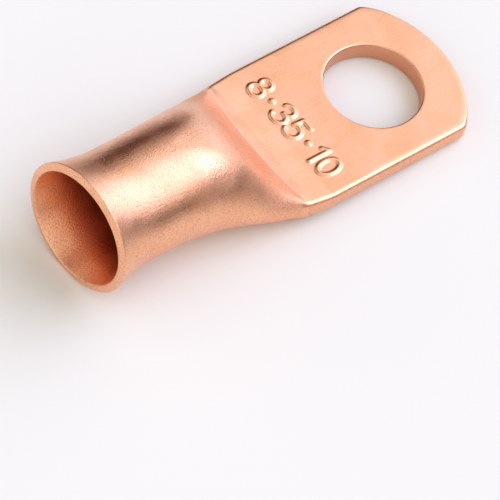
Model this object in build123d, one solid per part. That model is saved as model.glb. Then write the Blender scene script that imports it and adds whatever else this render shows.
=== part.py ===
"""Battery ring terminal: a copper tube, flared at one end to take a cable and pressed flat at
the other into a palm with a stud hole. It is one solid, in millimetres.

The origin is the centre of the stud hole on the palm's underside. +Z is the hole's axis, out of
the palm's upper face. +X runs to the palm's tip, so the tube's mouth is at -X.
"""
import os
from math import cos, radians, sin, tan

from build123d import *

# Palm: the flat end that is bolted down
stud_hole_diameter = 8.4
palm_width = 14.2
palm_thickness = 1.7
palm_reach = 7.4  # from the hole's centre to the tip
tip_bulge = 3.1  # how far the curved tip stands out past its two corners
tip_corner_round = 0.8
palm_edge_round = 0.3  # along the sides, where the tube is folded; the tip is cut square
hole_rim_bevel = 0.2  # on the upper side, where the punch went in

# Neck: the palm between the hole's centre and the pressing
neck_length = 11.8

# Barrel: the round tube that the cable goes into
barrel_diameter = 10.0
wall = 1.0
barrel_length = 2.1  # the straight stretch between the pressing and the flare
barrel_axis_height = 3.9  # above the palm's underside

# Pressing: the stretch in which the tube goes from round to flat
press_length = 13.2
crown_blend = 7.8  # of it, the part in which the flattening sets in
palm_blend = 1.2  # of it, the part in which it runs out into the palm
seam_gap = 0.2  # left between the two walls where they meet
crown_steps = 5
ramp_steps = 2
run_out_steps = 3
inside_steps = 20
round_split = 1.0  # degrees, half of each short edge that a round section is cut in

# Flare: the bell mouth
flare_angle = 25.0
flare_bend_radius = 8.9  # of the outer surface
lip_bevel = 0.25  # off both rims of the mouth

palm_start = -neck_length
press_start = palm_start - press_length
flare_start = press_start - barrel_length
barrel_radius = barrel_diameter / 2
bore_radius = barrel_radius - wall
crown_share = crown_blend / press_length
run_out_share = palm_blend / press_length


def flattening(share):
    """How flat the tube is, 0 to 1, at a share of the pressing's length, with both ends eased."""
    slope = 1 / (1 - (crown_share + run_out_share) / 2)
    if share < crown_share:
        return slope * share**2 / (2 * crown_share)
    if share > 1 - run_out_share:
        return 1 - slope * (1 - share) ** 2 / (2 * run_out_share)
    return slope * (share - crown_share / 2)


def between(round_value, flat_value, flatness):
    """A size of the cross-section, between its round and its flat value."""
    return round_value + (flat_value - round_value) * flatness


def section(share, centres, corner):
    """The section at a share of the pressing: arcs about these centres, joined by straight sides.

    The round one, where all the centres meet, has short arcs in place of its sides, so that the
    loft finds the same number of edges in every section.
    """
    is_round = share == 0
    trim = round_split if is_round else 0
    sweep = 360 / len(centres)
    starts = [90 + sweep * (i - 1) for i in range(len(centres))]
    arcs = [CenterArc(c, corner, a + trim, sweep - 2 * trim) for c, a in zip(centres, starts)]
    if is_round:
        sides = [CenterArc(c, corner, a + sweep - trim, 2 * trim) for c, a in zip(centres, starts)]
    else:
        sides = [Line(arc @ 1, following @ 0) for arc, following in zip(arcs, arcs[1:] + arcs[:1])]
    loop = Wire([edge for pair in zip(arcs, sides) for edge in pair])

    height = between(barrel_axis_height, palm_thickness / 2, flattening(share))
    centre = (press_start + share * press_length, 0, height)
    return Plane(origin=centre, x_dir=(0, 1, 0), z_dir=(1, 0, 0)) * Face(loop)


def outside_section(share):
    """The tube's outside: a circle that turns into the palm's rectangle with rounded corners."""
    flatness = flattening(share)
    corner = between(barrel_radius, palm_edge_round, flatness)
    y = between(barrel_radius, palm_width / 2, flatness) - corner
    z = between(barrel_radius, palm_thickness / 2, flatness) - corner
    return section(share, [(y, z), (-y, z), (-y, -z), (y, -z)], corner)


def inside_section(share):
    """The tube's inside: a circle that turns into a thin gap with half-round ends."""
    flatness = flattening(share)
    corner = between(bore_radius, seam_gap / 2, flatness)
    y = between(bore_radius, palm_width / 2 - wall, flatness) - corner
    return section(share, [(y, 0), (-y, 0)], corner)


def pressed_stretch(section_at, start, end, steps, ruled=False):
    """A solid through the sections from one share of the pressing to another."""
    shares = [start + (end - start) * step / steps for step in range(steps + 1)]
    return loft([section_at(share) for share in shares], ruled=ruled)


def pressed_tube():
    """The stretch from the round tube to the palm, hollow down to the gap.

    Its outside is a crown, a ramp that rises evenly and a run-out, which meet smoothly. The
    inside, which nobody sees, runs straight from step to step.
    """
    ramp_end = 1 - run_out_share
    crown = pressed_stretch(outside_section, 0, crown_share, crown_steps)
    ramp = pressed_stretch(outside_section, crown_share, ramp_end, ramp_steps, ruled=True)
    run_out = pressed_stretch(outside_section, ramp_end, 1, run_out_steps)
    inside = pressed_stretch(inside_section, 0, 1, inside_steps, ruled=True)
    return crown + ramp + run_out - inside


def palm():
    """The flat end: the pressed tube runs on, is cut off to a curved tip and has the stud hole."""
    half = palm_width / 2
    corner = palm_reach - tip_bulge
    sides = Polyline((corner, -half), (palm_start, -half), (palm_start, half), (corner, half))
    tip = ThreePointArc((corner, half), (palm_reach, 0), (corner, -half))
    outline = make_face([*sides.edges(), tip])
    outline = fillet(outline.vertices().group_by(Axis.X)[-1], tip_corner_round)
    punched = extrude(outline - Circle(stud_hole_diameter / 2), palm_thickness)

    blank = punched & extrude(outside_section(1), neck_length + palm_reach)
    upper = blank.faces().filter_by(Axis.Z).sort_by(Axis.Z)[-1]
    return chamfer(upper.inner_wires().edges(), hole_rim_bevel)


def flare_curve(radius, bend):
    """The curve along which a wall at this radius turns outwards, as (x, radius) points."""
    angle = radians(flare_angle)
    start = (flare_start, radius)
    corner = (flare_start - bend * tan(angle / 2), radius)
    end = (flare_start - bend * sin(angle), radius + bend * (1 - cos(angle)))
    return Bezier(start, corner, end)


def barrel():
    """The straight tube and its bell mouth, turned about the tube's axis."""
    outer = flare_curve(barrel_radius, flare_bend_radius)
    inner = flare_curve(bore_radius, flare_bend_radius + wall)
    onward, inward = (outer % 1) * lip_bevel, (inner @ 1 - outer @ 1).normalized() * lip_bevel
    lip = Polyline(outer @ 1, outer @ 1 + onward + inward, inner @ 1 + onward - inward, inner @ 1)
    ends = [(press_start, bore_radius), (press_start, barrel_radius)]
    tube = Polyline(inner @ 0, *ends, outer @ 0)
    profile = make_face([outer, inner, *lip.edges(), *tube.edges()])
    return Pos(0, 0, barrel_axis_height) * revolve(Plane.XZ * profile, Axis.X)


os.makedirs("parts", exist_ok=True)
terminal_lug = palm() + pressed_tube() + barrel()
print(f"terminal_lug: {terminal_lug.volume:.1f} cubic millimetres, valid: {terminal_lug.is_valid}")
export_step(terminal_lug, "parts/terminal_lug.step")
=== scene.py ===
"""Looks of the battery ring terminal: a bare copper lug on a pale floor in soft studio light.

The frame is the part's own: the origin is the centre of the stud hole on the palm's underside,
+Z comes out of the palm's upper face, and the tube's mouth is at -X. Lengths are in millimetres,
as in the part's source, and become metres where a mesh, a light or the camera is made.
"""
from math import atan, atan2, cos, pi, radians, sin, tan

import bmesh
import bpy
import numpy as np
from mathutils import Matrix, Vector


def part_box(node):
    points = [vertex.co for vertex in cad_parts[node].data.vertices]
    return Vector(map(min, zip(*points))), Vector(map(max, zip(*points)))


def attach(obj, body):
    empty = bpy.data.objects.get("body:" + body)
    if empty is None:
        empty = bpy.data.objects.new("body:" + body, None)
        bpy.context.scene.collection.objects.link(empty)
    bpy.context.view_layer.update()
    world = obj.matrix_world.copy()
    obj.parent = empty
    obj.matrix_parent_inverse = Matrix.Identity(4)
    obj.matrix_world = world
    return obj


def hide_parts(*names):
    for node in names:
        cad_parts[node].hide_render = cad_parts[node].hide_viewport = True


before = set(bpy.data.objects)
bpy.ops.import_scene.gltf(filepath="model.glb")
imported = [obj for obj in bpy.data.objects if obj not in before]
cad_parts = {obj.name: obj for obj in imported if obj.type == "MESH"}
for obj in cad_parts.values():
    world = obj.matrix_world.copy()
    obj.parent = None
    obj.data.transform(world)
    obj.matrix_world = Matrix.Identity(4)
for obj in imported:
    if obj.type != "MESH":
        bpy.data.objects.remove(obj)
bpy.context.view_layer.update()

MM = 0.001
NODE = "terminal_lug"

# Sizes of the part's source
source_half_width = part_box(NODE)[1][1] / MM
palm_reach = 7.4
palm_thickness = 1.7
tip_bulge = 3.1
tip_corner_round = 0.8
hole_radius = 4.2
palm_start = -11.8
press_length = 13.2
crown_blend = 7.8
palm_blend = 1.2
barrel_radius = 5.0
barrel_length = 2.1
barrel_axis_height = 3.9
wall = 1.0
seam_gap = 0.2

# The palm is a little fuller and rounder than the source's, and its sides run out more slowly
palm_extra_width = 0.12  # on each side
palm_edge_round = 0.4
width_blend = 1.6

palm_half_width = source_half_width + palm_extra_width
bore_radius = barrel_radius - wall
press_start = palm_start - press_length
flare_start = press_start - barrel_length
crown_share = crown_blend / press_length
run_out_share = palm_blend / press_length
width_run_out_share = width_blend / press_length

# The bell mouth, as the photograph shows it: slow at first, with a thinned and square-cut lip
flare_length = 4.3
flare_rise = 0.78
flare_power = 1.8
lip_wall = 0.74
mouth_tilt = 0.26  # how far the lip leans out on one side and in on the other
tilt_across, tilt_up = 0.95, -0.3  # the shares of that lean across the lug and up it
tilt_run = 1.0  # the lean sets in this far before the flare
lip_edge_round = 0.09

# The die's marks beside the pressing
die_bevel_slope = radians(16)
die_bevel_width = 1.3  # at its middle; it runs out towards both sides of the palm
die_reach = 3.4  # from the palm to where the marks end
die_edge_fade = 1.7  # beside the palm's edges, where the marks fade out
neck_rise_length = 2.0
neck_rise = 0.13
neck_rise_power = 1.3

# The waist where the pressing's sides meet the palm's, which the source draws as a corner
waist = 0.22
waist_length = 3.2  # either way
waist_middle = 0.8  # before the palm

# The crown's end, fuller in the middle and rounder across than the source's
crown_end = 5.0  # from the palm
crown_bulge = 1.3
crown_bulge_width = 5.15  # either side of the middle; beyond it the tube is lower than the source's
crown_rise_length = 8.0
crown_fall_length = 4.0

# The pressing's shoulders, which stay round for longer than the source's
shoulder_power = 1.8

# Finer roundings than the source has
hole_rim_round = 0.16
hole_foot_round = 0.1
tip_edge_round = 0.1
edge_fade_length = 1.6  # over which the sides' rounding turns into the tip's
edge_fade_lead = 0.9  # how much of that is still ahead at the tip's corner, before easing

# Mesh density, in segments
top_columns = 168
bottom_columns = 42
corner_segments = 5
side_segments = 4
profile_segments = 2 * corner_segments + side_segments
flare_segments = 18
lip_turn_segments = 4
outer_tube_segments = 6
inner_tube_segments = 4
close_share = 0.2  # of the pressing, next to the palm, where its rings lie closer
close_segments = 30
open_segments = 50
inside_segments = 30
tip_side_segments = 26
tip_corner_segments = 12
tip_arc_segments = 32  # to the tip's middle
rim_segments = 6
hole_wall_segments = 4
patch_end = -5.6  # the palm's swept stretch ends here; the rest is drawn around the hole
patch_rings = 84
spoke_segments = 10
spoke_power = 1.3  # above 1, the loops lie closer near the hole


# --- Cross-sections -----------------------------------------------------------------------------


def eased(value):
    """0 to 1 with both ends eased."""
    value = np.clip(value, 0.0, 1.0)
    return value * value * (3 - 2 * value)


def flattening(share, run_out=run_out_share):
    """How flat the tube is, 0 to 1, at a share of the pressing's length."""
    slope = 1 / (1 - (crown_share + run_out) / 2)
    if share < crown_share:
        return slope * share**2 / (2 * crown_share)
    if share > 1 - run_out:
        return 1 - slope * (1 - share) ** 2 / (2 * run_out)
    return slope * (share - crown_share / 2)


def between(round_value, flat_value, flatness):
    """A size of the cross-section, between its round and its flat value."""
    return round_value + (flat_value - round_value) * flatness


def around(places, half_width, half_height, corner):
    """(y, z) points on a rounded rectangle. Places run once around it, 0 to 1, from the top."""
    quarters = np.mod(places, 1.0) * 4
    index = np.floor(quarters).astype(int) % 4
    along = quarters - np.floor(quarters)
    along = np.where(index % 2 == 0, along, 1 - along)
    flat, arc, side = half_width - corner, corner * pi / 2, half_height - corner
    distance = along * (flat + arc + side)
    turn = np.clip((distance - flat) / corner, 0, pi / 2)
    y = np.minimum(distance, flat) + corner * np.sin(turn)
    z = half_height - corner * (1 - np.cos(turn)) - np.maximum(distance - flat - arc, 0)
    return np.where(index < 2, y, -y), np.where((index == 0) | (index == 3), z, -z)


def ring(x, places, half_width, half_height, corner, height):
    """A ring of points, in a plane across the lug."""
    y, z = around(places, half_width, half_height, corner)
    return np.column_stack([np.full(len(y), float(x)), y, z + height])


def palm_places():
    """Places of a ring's points on the palm: even on the flats, and a few around each edge."""
    flat = palm_half_width - palm_edge_round
    arc = palm_edge_round * pi / 2
    side = palm_thickness / 2 - palm_edge_round
    quarter = flat + arc + side
    top = np.linspace(-flat, flat, top_columns + 1)
    upper = flat + np.linspace(0, arc, corner_segments + 1)[1:]
    face = flat + arc + np.linspace(0, 2 * side, side_segments + 1)[1:]
    lower = 2 * quarter - flat - np.linspace(arc, 0, corner_segments + 1)[1:]
    bottom = 2 * quarter + np.linspace(-flat, flat, bottom_columns + 1)[1:]
    right = np.concatenate([upper, face, lower])
    left = 4 * quarter - right[:-1][::-1]
    return np.concatenate([top, right, bottom, left]) / (4 * quarter)


PALM_PLACES = palm_places()
RING = len(PALM_PLACES)
ROUND_PLACES = (np.arange(RING) - top_columns / 2) / RING


def outside_ring(share, places):
    """The pressing's outside: a circle that turns into the palm's rounded rectangle."""
    flatness = flattening(share)
    half_width = between(barrel_radius, palm_half_width, flattening(share, width_run_out_share))
    half_height = between(barrel_radius, palm_thickness / 2, flatness)
    corner = min(between(barrel_radius, palm_edge_round, flatness**shoulder_power), half_height)
    height = between(barrel_axis_height, palm_thickness / 2, flatness)
    return ring(press_start + share * press_length, places, half_width, half_height, corner, height)


def inside_ring(share):
    """The pressing's inside: a circle that turns into a thin gap with half-round ends."""
    flatness = flattening(share)
    half_width = between(bore_radius, palm_half_width - wall, flatness)
    half_height = between(bore_radius, seam_gap / 2, flatness)
    height = between(barrel_axis_height, palm_thickness / 2, flatness)
    x = press_start + share * press_length
    return ring(x, ROUND_PLACES, half_width, half_height, half_height, height)


def mouth_profile():
    """(x, radius) points from the barrel's outside along the mouth, round its lip and back in."""

    def outer_point(share):
        x = flare_start - flare_length * share
        return np.array([x, barrel_radius + flare_rise * share**flare_power])

    def slope(share):
        return atan(flare_rise / flare_length * flare_power * share ** (flare_power - 1))

    def inner_point(share):
        thickness = between(wall, lip_wall, share)
        return outer_point(share) - thickness * np.array([sin(slope(share)), cos(slope(share))])

    shares = np.linspace(0, 1, flare_segments + 1)
    outer = [outer_point(share) for share in shares]
    inner = [inner_point(share) for share in shares]
    onward = np.array([-cos(slope(1)), sin(slope(1))])
    inward = (inner[-1] - outer[-1]) / lip_wall
    turns = np.linspace(0, pi / 2, lip_turn_segments + 1)
    rim = []
    for turn in turns:
        back, out = lip_edge_round * (1 - sin(turn)), lip_edge_round * (1 - cos(turn))
        rim.append(outer[-1] + inward * out - onward * back)
    across_lip = inward * (lip_wall - 2 * lip_edge_round)
    face = [rim[-1] + across_lip * share for share in (0.25, 0.5, 0.75)]
    other_rim = []
    for turn in turns[::-1]:
        back, out = lip_edge_round * (1 - sin(turn)), lip_edge_round * (1 - cos(turn))
        other_rim.append(inner[-1] - inward * out - onward * back)
    outer_x = np.linspace(press_start, flare_start, outer_tube_segments + 1)[1:-1]
    inner_x = np.linspace(flare_start, press_start, inner_tube_segments + 1)[1:-1]
    outer_tube = [(x, barrel_radius) for x in outer_x]
    inner_tube = [(x, bore_radius) for x in inner_x]
    return outer_tube + outer[:-1] + rim + face + other_rim + inner[-2::-1] + inner_tube


# --- Raised size figures on the palm --------------------------------------------------------------

figure_height = 2.15
figure_gap = 0.48
stroke_width = 0.33
stroke_rise = 0.13
stroke_fade = 0.75 * stroke_width  # from a stroke's middle to where its rise ends
stroke_fullness = 1.5  # above 1, a stroke has a flat top
figures_x = -8.45  # the row's middle, between the pressing and the hole


def arc_points(centre, radii, start, stop, steps=18):
    """Points on an ellipse from one angle to another, in degrees."""
    angles = np.radians(np.linspace(start, stop, steps))
    x = centre[0] + radii[0] * np.cos(angles)
    return np.column_stack([x, centre[1] + radii[1] * np.sin(angles)])


def zero():
    return [arc_points((0.3, 0.5), (0.3, 0.5), 0, 360)]


def one():
    return [np.array([(0.04, 0.8), (0.26, 1.0), (0.26, 0.0)])]


def three():
    upper = arc_points((0.27, 0.76), (0.27, 0.24), 165, -90)
    lower = arc_points((0.28, 0.27), (0.32, 0.27), 90, -165)
    return [upper, lower]


def five():
    bowl = arc_points((0.26, 0.32), (0.33, 0.32), 120, -155)
    return [np.array([(0.54, 1.0), (0.1, 1.0), (0.06, 0.56)]), bowl]


def eight():
    upper = arc_points((0.3, 0.77), (0.24, 0.23), 0, 360)
    lower = arc_points((0.3, 0.27), (0.3, 0.27), 0, 360)
    return [upper, lower]


def dot():
    return [arc_points((0.2, 0.5), (0.04, 0.04), 0, 360, 7)]


# Each figure's strokes in a box one high, and that box's width
FIGURES = [
    (eight, 0.6),
    (dot, 0.4),
    (three, 0.6),
    (five, 0.6),
    (dot, 0.4),
    (one, 0.32),
    (zero, 0.6),
]


def figure_strokes():
    """The row's strokes, on the palm: it reads towards -Y, with its tops towards +X."""
    gap = figure_gap / figure_height
    length = sum(width for _, width in FIGURES) + gap * (len(FIGURES) - 1)
    cursor, strokes = -length / 2, []
    for draw, width in FIGURES:
        for stroke in draw():
            x = figures_x + (stroke[:, 1] - 0.5) * figure_height
            y = -(cursor + stroke[:, 0]) * figure_height
            strokes.append(np.column_stack([x, y]))
        cursor += width + gap
    return strokes


def distance_to(strokes, x, y):
    """The distance of each point to the nearest stroke."""
    points = np.column_stack([x, y])
    nearest = np.full(len(points), np.inf)
    for stroke in strokes:
        for start, end in zip(stroke[:-1], stroke[1:]):
            span = end - start
            share = np.clip((points - start) @ span / (span @ span), 0, 1)
            offset = points - start - share[:, None] * span
            nearest = np.minimum(nearest, np.hypot(offset[:, 0], offset[:, 1]))
    return nearest


def relief(x, y):
    """How far the palm's upper face stands out at each point."""
    distance = distance_to(figure_strokes(), x, y)
    return stroke_rise * eased(stroke_fullness * (1 - distance / stroke_fade))


# --- The lug's mesh -------------------------------------------------------------------------------


class Mesh:
    """Points and faces, collected piece by piece."""

    def __init__(self):
        self.points, self.faces = [], []

    def add(self, points):
        """Adds points and returns their numbers."""
        first = len(self.points)
        self.points.extend(np.asarray(points, float).tolist())
        return list(range(first, len(self.points)))

    def strip(self, one_row, other_row, closed=False):
        """Four-sided faces between two rows of points."""
        count = len(one_row)
        for i in range(count if closed else count - 1):
            j = (i + 1) % count
            self.faces.append((one_row[i], one_row[j], other_row[j], other_row[i]))


def top_height(before):
    """The height of the source's upper side, this far before the palm."""
    return outside_ring(1 - before / press_length, np.zeros(1))[0, 2]


def die_marks(points):
    """Moves the upper points of a ring near the pressing to the shape that the die leaves there."""
    x, y, z = points.T
    before = palm_start - x[0]
    if not -neck_rise_length < before < crown_end + crown_rise_length:
        return
    top, bottom = z.max(), z.min()
    middle = (top + bottom) / 2
    across = np.clip(np.abs(y) / palm_half_width, 0, 1)
    inward = eased((palm_half_width - np.abs(y)) / die_edge_fade)

    neck = np.clip(before + neck_rise_length, 0, neck_rise_length) / neck_rise_length
    change = np.full(len(z), neck_rise * neck**neck_rise_power)
    if before > 0:
        width = die_bevel_width * np.sqrt(1 - across**2)
        bevel = width * tan(die_bevel_slope)
        climb = (top_height(die_reach) - palm_thickness - neck_rise - bevel) / (die_reach - width)
        height = neck_rise + np.minimum(before, width) * tan(die_bevel_slope)
        height = height + np.maximum(before - width, 0) * climb
        change = np.where(before < die_reach, palm_thickness + height - top, 0.0)
        beside = neck_rise * eased(1 - before / die_reach)
        change = beside + (change - beside) * inward

    reach = crown_rise_length if before > crown_end else crown_fall_length
    bulge = crown_bulge * eased(1 - abs(before - crown_end) / reach)
    change = change + bulge * (1 - (y / crown_bulge_width) ** 2)
    upper = np.clip((z - middle) / (top - middle), 0, 1)
    points[:, 2] = z + upper * change


def swept_rings():
    """The lug from the palm's neck to the mouth's lip, and back inside to the end of the gap."""
    upper_face = slice(0, top_columns + 1)
    rings = []
    for x in np.linspace(patch_end, palm_start, patch_rings + 1)[:-1]:
        half = palm_thickness / 2
        rings.append(ring(x, PALM_PLACES, palm_half_width, half, palm_edge_round, half))
    close_steps = np.linspace(0, close_share, close_segments + 1)
    open_steps = np.linspace(close_share, 1, open_segments + 1)[1:]
    for share in 1 - np.concatenate([close_steps, open_steps]):
        weight = eased(share)
        places = weight * PALM_PLACES + (1 - weight) * ROUND_PLACES
        rings.append(outside_ring(share, places))
    for points in rings:
        before = palm_start - points[0, 0]
        narrowing = waist * eased(1 - abs(before - waist_middle) / waist_length)
        points[:, 1] *= 1 - narrowing / palm_half_width
        die_marks(points)
    palm_points = np.concatenate([points[upper_face] for points in rings[:patch_rings]])
    rise = relief(palm_points[:, 0], palm_points[:, 1]).reshape(-1, top_columns + 1)
    for points, ring_rise in zip(rings, rise):
        points[upper_face, 2] += ring_rise
    for x, radius in mouth_profile():
        points = ring(x, ROUND_PLACES, radius, radius, radius, barrel_axis_height)
        lean = mouth_tilt * eased((flare_start + tilt_run - x) / (flare_length + tilt_run))
        sideways, upwards = points[:, 1], points[:, 2] - barrel_axis_height
        points[:, 0] -= lean * (tilt_across * sideways + tilt_up * upwards) / barrel_radius
        rings.append(points)
    rings.extend(inside_ring(share) for share in np.linspace(0, 1, inside_segments + 1))
    return rings


def tip_outline():
    """The palm's outline from one end of the swept stretch round the tip to the other.

    Gives each point, its outward direction and the radius of the edges there.
    """
    corner_x = palm_reach - tip_bulge
    tip_radius = (palm_half_width**2 + tip_bulge**2) / (2 * tip_bulge)
    tip_centre = palm_reach - tip_radius
    corner_y = palm_half_width - tip_corner_round
    corner_centre = tip_centre + ((tip_radius - tip_corner_round) ** 2 - corner_y**2) ** 0.5
    meeting = atan2(corner_y, corner_centre - tip_centre)

    stations = []
    for x in np.linspace(patch_end, corner_centre, tip_side_segments + 1)[1:]:
        stations.append(((x, palm_half_width), (0.0, 1.0)))
    for angle in np.linspace(pi / 2, meeting, tip_corner_segments + 1)[1:]:
        dx, dy = cos(angle), sin(angle)
        place = (corner_centre + tip_corner_round * dx, corner_y + tip_corner_round * dy)
        stations.append((place, (dx, dy)))
    for angle in np.linspace(meeting, 0, tip_arc_segments + 1)[1:]:
        dx, dy = cos(angle), sin(angle)
        stations.append(((tip_centre + tip_radius * dx, tip_radius * dy), (dx, dy)))
    mirrored = [((x, -y), (dx, -dy)) for (x, y), (dx, dy) in stations[:-1]]
    whole = stations + mirrored[::-1]
    before_corner = corner_x - np.array([place[0] for place, _ in whole])
    fade = eased(before_corner / edge_fade_length + edge_fade_lead)
    radii = tip_edge_round + (palm_edge_round - tip_edge_round) * fade
    return [(place, direction, radius) for (place, direction), radius in zip(whole, radii)]


def edge_profile(place, direction, radius):
    """Points down the palm's edge at one station, from its upper face to its lower one."""
    turns = np.linspace(0, pi / 2, corner_segments + 1)
    inset, drop = radius * (1 - np.sin(turns)), radius * (1 - np.cos(turns))
    heights = np.linspace(palm_thickness - radius, radius, side_segments + 1)[1:-1]
    insets = np.concatenate([inset, np.zeros(len(heights)), inset[::-1]])
    z = np.concatenate([palm_thickness - drop, heights, drop[::-1]])
    return np.column_stack([place[0] - insets * direction[0], place[1] - insets * direction[1], z])


def hole_profile():
    """(radius, z) points down the stud hole's wall, from the palm's upper face to its lower one."""
    wall_top = palm_thickness - hole_rim_round
    rim, foot = [], []
    for turn in np.linspace(0, pi / 2, rim_segments + 1):
        out, down = 1 - sin(turn), 1 - cos(turn)
        rim.append((hole_radius + hole_rim_round * out, palm_thickness - hole_rim_round * down))
        foot.append((hole_radius + hole_foot_round * down, hole_foot_round * out))
    heights = np.linspace(wall_top, hole_foot_round, hole_wall_segments + 1)[1:-1]
    return rim + [(hole_radius, z) for z in heights] + foot


def spokes(mesh, rim, rim_points, loop_points, shares):
    """Loops between the hole's rim and an outer loop. Returns the last loop's numbers."""
    previous = rim
    for share in shares:
        current = mesh.add(rim_points + share * (loop_points - rim_points))
        mesh.strip(previous, current, closed=True)
        previous = current
    return previous


def build_lug():
    """The whole lug as one closed mesh."""
    mesh = Mesh()
    rings = swept_rings()
    numbered = [mesh.add(points) for points in rings]
    for one_ring, next_ring in zip(numbered[:-1], numbered[1:]):
        mesh.strip(one_ring, next_ring, closed=True)
    mesh.faces.append(tuple(numbered[-1]))

    first = numbered[0]
    right_end = top_columns + profile_segments
    left_end = right_end + bottom_columns
    right_profile = first[top_columns : right_end + 1]
    left_profile = [first[0]] + first[: left_end - 1 : -1]
    profiles = [right_profile]
    profiles += [mesh.add(edge_profile(*station)) for station in tip_outline()]
    profiles.append(left_profile)
    for one_profile, next_profile in zip(profiles[:-1], profiles[1:]):
        mesh.strip(one_profile, next_profile)

    points = np.array(mesh.points)
    top_loop = first[: top_columns + 1] + [profile[0] for profile in profiles[1:-1]]
    loop_points = points[top_loop]
    angles = np.arctan2(loop_points[:, 1], loop_points[:, 0])
    levels = []
    for radius, z in hole_profile():
        x, y = radius * np.cos(angles), radius * np.sin(angles)
        levels.append(np.column_stack([x, y, np.full(len(angles), z)]))
    wall_rings = [mesh.add(level) for level in levels]
    for one_ring, next_ring in zip(wall_rings[:-1], wall_rings[1:]):
        mesh.strip(one_ring, next_ring, closed=True)

    shares = np.linspace(0, 1, spoke_segments + 1)[1:-1] ** spoke_power
    last = spokes(mesh, wall_rings[0], levels[0], loop_points, shares)
    mesh.strip(last, top_loop, closed=True)

    flat_loop = loop_points * (1, 1, 0)
    flat_loop[: top_columns + 1, 0] = patch_end
    last = spokes(mesh, wall_rings[-1], levels[-1], flat_loop, shares)
    bottom_row = first[left_end : right_end - 1 : -1]
    ratio = top_columns // bottom_columns
    for i in range(bottom_columns):
        fine = last[i * ratio : (i + 1) * ratio + 1]
        mesh.faces.append((bottom_row[i], bottom_row[i + 1], *fine[::-1]))
    lower_edge = [profile[-1] for profile in profiles[1:-1]]
    bottom_stations = [bottom_row[-1]] + lower_edge + [bottom_row[0]]
    mesh.strip(last[top_columns:] + [last[0]], bottom_stations)
    return mesh


def lug_object():
    """The lug as a Blender object, with its faces turned outwards and shaded smooth."""
    mesh = build_lug()
    data = bpy.data.meshes.new("copper_lug")
    data.from_pydata((np.array(mesh.points) * MM).tolist(), [], mesh.faces)
    data.validate()
    faces = bmesh.new()
    faces.from_mesh(data)
    bmesh.ops.recalc_face_normals(faces, faces=faces.faces)
    faces.to_mesh(data)
    faces.free()
    data.shade_smooth()
    lug = bpy.data.objects.new("copper_lug", data)
    bpy.context.scene.collection.objects.link(lug)
    weighted = lug.modifiers.new("flat_faces", "WEIGHTED_NORMAL")
    weighted.mode = "FACE_AREA"
    return lug


# --- Materials ------------------------------------------------------------------------------------


class Nodes:
    """A node tree with short ways to add and join nodes."""

    def __init__(self, tree):
        self.tree = tree
        tree.nodes.clear()

    def add(self, kind, inputs=None, **settings):
        """A node of this kind; inputs maps socket names to values or to other nodes' sockets."""
        node = self.tree.nodes.new(kind)
        for name, value in settings.items():
            setattr(node, name, value)
        for name, value in (inputs or {}).items():
            socket = node.inputs[name]
            if isinstance(value, bpy.types.NodeSocket):
                self.tree.links.new(value, socket)
            else:
                socket.default_value = value
        return node

    def math(self, operation, first, second=0.0):
        """A number worked out from one or two others."""
        return self.add("ShaderNodeMath", {0: first, 1: second}, operation=operation).outputs[0]

    def vector(self, operation, first, second=(0.0, 0.0, 0.0), output="Vector"):
        """A vector worked out from one or two others, or a number with output="Value"."""
        node = self.add("ShaderNodeVectorMath", {0: first, 1: second}, operation=operation)
        return node.outputs[output]

    def noise(self, place, size, detail=2.0, roughness=0.5):
        """Noise with blotches of this size, in the unit of the place."""
        inputs = {"Vector": place, "Scale": 1 / size, "Detail": detail, "Roughness": roughness}
        return self.add("ShaderNodeTexNoise", inputs).outputs["Fac"]

    def ramp(self, value, low, high, to_low, to_high, kind="SMOOTHSTEP"):
        """A number that goes from to_low to to_high as value goes from low to high."""
        inputs = {"Value": value, "From Min": low, "From Max": high}
        inputs.update({"To Min": to_low, "To Max": to_high})
        return self.add("ShaderNodeMapRange", inputs, interpolation_type=kind).outputs["Result"]

    def blend(self, share, first, second):
        """A colour between two others."""
        node = self.add("ShaderNodeMix", {"Factor": share}, data_type="RGBA")
        for socket, value in ((node.inputs[6], first), (node.inputs[7], second)):
            if isinstance(value, bpy.types.NodeSocket):
                self.tree.links.new(value, socket)
            else:
                socket.default_value = value
        return node.outputs[2]


def new_material(name):
    material = bpy.data.materials.new(name)
    material.use_nodes = True
    return material, Nodes(material.node_tree)


# Copper's colours, and how strongly each lies over the ones before it. The stud hole wall's colour
# and the bore's colour are painted shade.
ruddy_copper = (0.93, 0.475, 0.275, 1)
pale_copper = (0.97, 0.525, 0.325, 1)
tarnish_colour, tarnish_share = (0.84, 0.40, 0.24, 1), 0.22
# Painted shade: the stud hole's wall is darkened for the shaded floor that it reflects
hole_wall_shade_colour, hole_wall_shade_share = (0.66, 0.27, 0.16, 1), 0.65
fleck_colour, fleck_share = (0.70, 0.32, 0.19, 1), 0.80
pressed_fleck_share = 0.15  # of the flecks' strength, on the pressed faces
# Painted shade: the tube's inside is darker and redder, like the light that bounces deep in it
bore_shade_colour, bore_shade_share = (0.66, 0.20, 0.09, 1), 0.75

# Sizes of copper's patterns
blotch_size = 3.5
tarnish_size = 0.9
grain_size = 0.11
sheen_size = 1.8
wave_size = 2.6
line_size = 0.2
line_stretch = 0.1  # a drawn line's width as a share of its length

# The stretch of each noise, which runs from 0 to 1, over which its pattern sets in
blotch_range = (0.35, 0.65)
tarnish_range = (0.56, 0.75)
fleck_range = (0.48, 0.66)
sheen_range = (0.3, 0.7)

# Copper's roughness
sheen_low, sheen_high = 0.24, 0.33
free_roughness = 0.03  # more where the tube is free
stretched_roughness = 0.18  # more where the press stretched the tube

# Heights of copper's unevenness
free_grain_height, pressed_grain_height = 0.026, 0.003
wave_height = 0.030
line_height = 0.006

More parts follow.
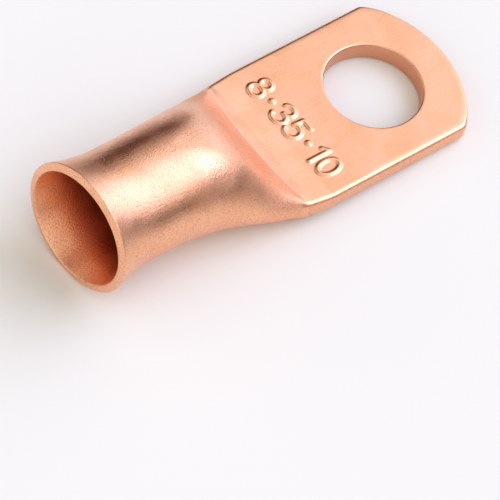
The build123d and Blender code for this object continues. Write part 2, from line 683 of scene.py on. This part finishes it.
# Where copper changes: along X, or outwards from the hole's or the tube's axis
pressed_from = (palm_start - 2.6, palm_start - 1.0)
level_from = (0.55, 0.85)  # the upright part of a face's normal
# Painted shade on the stud hole's wall, out to this far from the hole's axis
hole_wall_shade_to = (hole_radius + 0.02, hole_radius + 0.06)
# Painted shade inside the tube, out to this far from its axis, from behind the lip to the pressing
bore_shade_to = (bore_radius + 0.35, bore_radius + 0.65)
bore_shade_starts = (flare_start - 4.0, flare_start - 1.0)
bore_shade_ends = (press_start, press_start + 1.0)
stretched_starts = (palm_start - 5.5, palm_start - 3.5)
stretched_ends = (palm_start - 1.5, palm_start - 1.0)


def copper():
    """Bare annealed copper, sandy where the tube is free and smooth where it was pressed flat;
    painted shade darkens the stud hole's wall and the tube's inside.
    """
    material, nodes = new_material("bare_copper")
    coordinates = nodes.add("ShaderNodeTexCoord").outputs["Object"]
    place = nodes.vector("MULTIPLY", coordinates, (1000.0,) * 3)
    along = nodes.vector("MULTIPLY", place, (line_stretch, 1.0, 1.0))
    x = nodes.add("ShaderNodeSeparateXYZ", {"Vector": place}).outputs["X"]
    normal = nodes.add("ShaderNodeNewGeometry").outputs["Normal"]
    upright = nodes.add("ShaderNodeSeparateXYZ", {"Vector": normal}).outputs["Z"]
    level = nodes.ramp(nodes.math("ABSOLUTE", upright), *level_from, 0, 1)
    pressed = nodes.math("MULTIPLY", nodes.ramp(x, *pressed_from, 0, 1), level)

    flat_place = nodes.vector("MULTIPLY", place, (1.0, 1.0, 0.0))
    hole_wall_shade = nodes.ramp(nodes.vector("LENGTH", flat_place, output="Value"), *hole_wall_shade_to, 1, 0)

    blotches = nodes.ramp(nodes.noise(place, blotch_size, 3.0), *blotch_range, 0, 1)
    colour = nodes.blend(blotches, ruddy_copper, pale_copper)
    tarnish = nodes.noise(place, tarnish_size, 4.0, 0.65)
    tarnish = nodes.ramp(tarnish, *tarnish_range, 0, tarnish_share)
    colour = nodes.blend(tarnish, colour, tarnish_colour)
    # Painted shade darkens the stud hole's wall
    colour = nodes.blend(nodes.math("MULTIPLY", hole_wall_shade, hole_wall_shade_share), colour, hole_wall_shade_colour)

    grain = nodes.noise(place, grain_size, 1.0, 0.5)
    flecks = nodes.ramp(grain, *fleck_range, 0, fleck_share)
    flecks = nodes.math("MULTIPLY", flecks, nodes.ramp(pressed, 0, 1, 1, pressed_fleck_share))
    colour = nodes.blend(flecks, colour, fleck_colour)

    # Painted shade: the tube's inside is darkened and reddened, fading in behind the lip
    to_axis = nodes.vector("ADD", place, (0.0, 0.0, -barrel_axis_height))
    to_axis = nodes.vector("MULTIPLY", to_axis, (0.0, 1.0, 1.0))
    inside = nodes.ramp(nodes.vector("LENGTH", to_axis, output="Value"), *bore_shade_to, 1, 0)
    inside = nodes.math("MULTIPLY", inside, nodes.ramp(x, *bore_shade_starts, 0, 1))
    inside = nodes.math("MULTIPLY", inside, nodes.ramp(x, *bore_shade_ends, 1, 0))
    colour = nodes.blend(nodes.math("MULTIPLY", inside, bore_shade_share), colour, bore_shade_colour)

    sheen = nodes.noise(place, sheen_size, 3.0)
    roughness = nodes.ramp(sheen, *sheen_range, sheen_low, sheen_high)
    roughness = nodes.math("ADD", roughness, nodes.ramp(pressed, 0, 1, free_roughness, 0.0))
    stretched = nodes.ramp(x, *stretched_starts, 0, 1)
    stretched = nodes.math("MULTIPLY", stretched, nodes.ramp(x, *stretched_ends, 1, 0))
    stretched = nodes.math("MULTIPLY", stretched, stretched_roughness)
    roughness = nodes.math("ADD", roughness, stretched)

    grain_height = nodes.ramp(pressed, 0, 1, free_grain_height, pressed_grain_height, "LINEAR")
    waves = nodes.math("MULTIPLY", nodes.noise(place, wave_size, 1.0), wave_height)
    lines = nodes.math("MULTIPLY", nodes.noise(along, line_size, 2.0), line_height)
    height = nodes.math("ADD", nodes.math("MULTIPLY", grain, grain_height), waves)
    height = nodes.math("ADD", height, lines)
    bump = nodes.add("ShaderNodeBump", {"Height": height, "Strength": 1.0, "Distance": MM})

    shader = nodes.add("ShaderNodeBsdfPrincipled", {
        "Base Color": colour,
        "Metallic": 1.0,
        "Roughness": roughness,
        "Normal": bump.outputs["Normal"],
    })
    nodes.add("ShaderNodeOutputMaterial", {"Surface": shader.outputs["BSDF"]})
    return material


mottle_size = 0.05  # in metres, as the floor's coordinates are
dark_paper, light_paper = (0.91, 0.90, 0.83, 1), (0.93, 0.92, 0.85, 1)
paper_roughness = 0.9


def floor_paper():
    """Pale matt paper."""
    material, nodes = new_material("floor_paper")
    coordinates = nodes.add("ShaderNodeTexCoord").outputs["Object"]
    colour = nodes.blend(nodes.noise(coordinates, mottle_size), dark_paper, light_paper)
    paper = {"Base Color": colour, "Roughness": paper_roughness}
    shader = nodes.add("ShaderNodeBsdfPrincipled", paper)
    nodes.add("ShaderNodeOutputMaterial", {"Surface": shader.outputs["BSDF"]})
    return material


# --- Floor, light and camera ----------------------------------------------------------------------

floor_ends = (-90.0, 60.0)
floor_half_width = 50.0

# The studio's panels: azimuth, elevation, half width, half height and softness, the first four in
# degrees, and the light. Each covers the ones before it.
STUDIO_PANELS = [
    (-22, 47, 31, 23, 0.35, (2.5, 2.6, 3.5, 1)),  # the softbox over the palm and the crown
    (14, 6, 17, 17, 0.40, (1.4, 1.5, 1.9, 1)),  # light low behind the tip, for the ramp
    (-43, 1, 40, 19, 0.35, (0.06, 0.0, 0.0, 1)),  # the gap for the near flank's dark band
    (70, 12, 36, 28, 0.40, (0.06, 0.0, 0.0, 1)),  # the gap for the far flank's dark band
    (108, 64, 22, 18, 0.50, (0.30, 0.20, 0.20, 1)),  # dimmer high up on the far side
    (-91, -5, 16, 20, 0.40, (0.10, 0.04, 0.04, 1)),  # dark low down on the near side
]
tent_light = (0.96, 0.95, 0.92, 1)  # everywhere else
background_light = (0.97, 0.97, 0.97, 1)  # where the camera sees the studio itself

sensor_width = 36.0
focal_length = 436.3
camera_place = (-253.2, -183.56, 390.45)
camera_turns = (35.50, -11.07, -38.02)  # in degrees


def floor():
    """A pale floor that the lug rests on with its lip and its tip, so it is tilted a little."""
    lip_foot = (flare_start - flare_length, barrel_axis_height - barrel_radius - flare_rise)
    tilt = atan2(-lip_foot[1], palm_reach - lip_foot[0])
    data = bpy.data.meshes.new("floor")
    (back, front), side = floor_ends, floor_half_width
    corners = [(back, -side, 0), (front, -side, 0), (front, side, 0), (back, side, 0)]
    data.from_pydata((np.array(corners) * MM).tolist(), [], [(0, 1, 2, 3)])
    plane = bpy.data.objects.new("floor", data)
    plane.rotation_euler = (0, -tilt, 0)
    plane.location = (palm_reach * MM, 0, 0)
    data.materials.append(floor_paper())
    bpy.context.scene.collection.objects.link(plane)


def towards(azimuth, elevation):
    """The direction at an azimuth from +X towards +Y and an elevation, in degrees."""
    a, e = radians(azimuth), radians(elevation)
    return (cos(a) * cos(e), sin(a) * cos(e), sin(e))


def panel(nodes, direction, azimuth, elevation, half_width, half_height, softness):
    """1 inside an oval panel of the studio and 0 outside it; place and half sizes in degrees."""
    centre = towards(azimuth, elevation)
    across = towards(azimuth + 90, 0)
    up = towards(azimuth, elevation + 90)

    def part(axis):
        return nodes.vector("DOT_PRODUCT", direction, axis, "Value")

    def square(axis, half_size):
        share = nodes.math("MULTIPLY", part(axis), 1 / sin(radians(half_size)))
        return nodes.math("POWER", nodes.math("ABSOLUTE", share), 2.0)

    squares = nodes.math("ADD", square(across, half_width), square(up, half_height))
    distance = nodes.math("SQRT", squares)
    inside = nodes.ramp(distance, 1 - softness, 1 + softness, 1, 0)
    ahead = nodes.math("GREATER_THAN", part(centre), 0.0)
    return nodes.math("MULTIPLY", inside, ahead)


def studio_light():
    """A light tent with brighter and darker oval panels, for the copper to reflect."""
    world = bpy.data.worlds.new("studio")
    bpy.context.scene.world = world
    world.use_nodes = True
    nodes = Nodes(world.node_tree)
    direction = nodes.add("ShaderNodeTexCoord").outputs["Generated"]

    light = tent_light
    for *shape, panel_light in STUDIO_PANELS:
        light = nodes.blend(panel(nodes, direction, *shape), light, panel_light)

    seen = nodes.add("ShaderNodeLightPath").outputs["Is Camera Ray"]
    light = nodes.blend(seen, light, background_light)
    background = nodes.add("ShaderNodeBackground", {"Color": light, "Strength": 1.0})
    nodes.add("ShaderNodeOutputWorld", {"Surface": background.outputs["Background"]})


def camera():
    """The photograph's view, from in front of the mouth and above, at a long focal length."""
    data = bpy.data.cameras.new("camera")
    data.sensor_width = sensor_width
    data.lens = focal_length
    data.clip_start, data.clip_end = 0.01, 10.0
    view = bpy.data.objects.new("camera", data)
    view.location = [value * MM for value in camera_place]
    view.rotation_euler = [radians(turn) for turn in camera_turns]
    bpy.context.scene.collection.objects.link(view)
    bpy.context.scene.camera = view


camera()
studio_light()
floor()

lug = lug_object()
lug.data.materials.append(copper())
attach(lug, "root")
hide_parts(NODE)

bpy.context.scene.view_settings.view_transform = "Standard"
bpy.context.scene.view_settings.look = "None"
